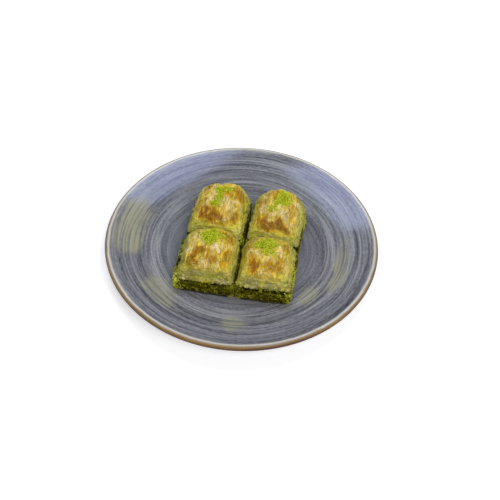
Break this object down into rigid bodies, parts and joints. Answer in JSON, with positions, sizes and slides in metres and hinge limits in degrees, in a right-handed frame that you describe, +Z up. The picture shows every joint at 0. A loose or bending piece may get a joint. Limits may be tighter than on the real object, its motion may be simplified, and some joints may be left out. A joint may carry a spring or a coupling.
{
  "type": "plate of baklava",
  "caption": "Square cut pieces of pistachio baklava with crinkled golden tops, set close together in a block on a shallow round stoneware plate.",
  "frame": {"origin": "on the table, under the middle of the plate", "axes": "+Z up out of the plate, +X to the right and +Y away from the side that is shown"},
  "size_m": [0.21, 0.21, 0.0459],
  "materials": {
    "glaze": "gloss",
    "base": "satin",
    "filling": "matte",
    "pastry": "gloss"
  },
  "bodies": {
    "root": {"plate": "glaze", "front_left_base": "base", "front_left_filling": "filling", "front_left_pastry": "pastry", "front_right_base": "base", "front_right_filling": "filling", "front_right_pastry": "pastry", "back_left_base": "base", "back_left_filling": "filling", "back_left_pastry": "pastry", "back_right_base": "base", "back_right_filling": "filling", "back_right_pastry": "pastry"}
  },
  "joints": []
}
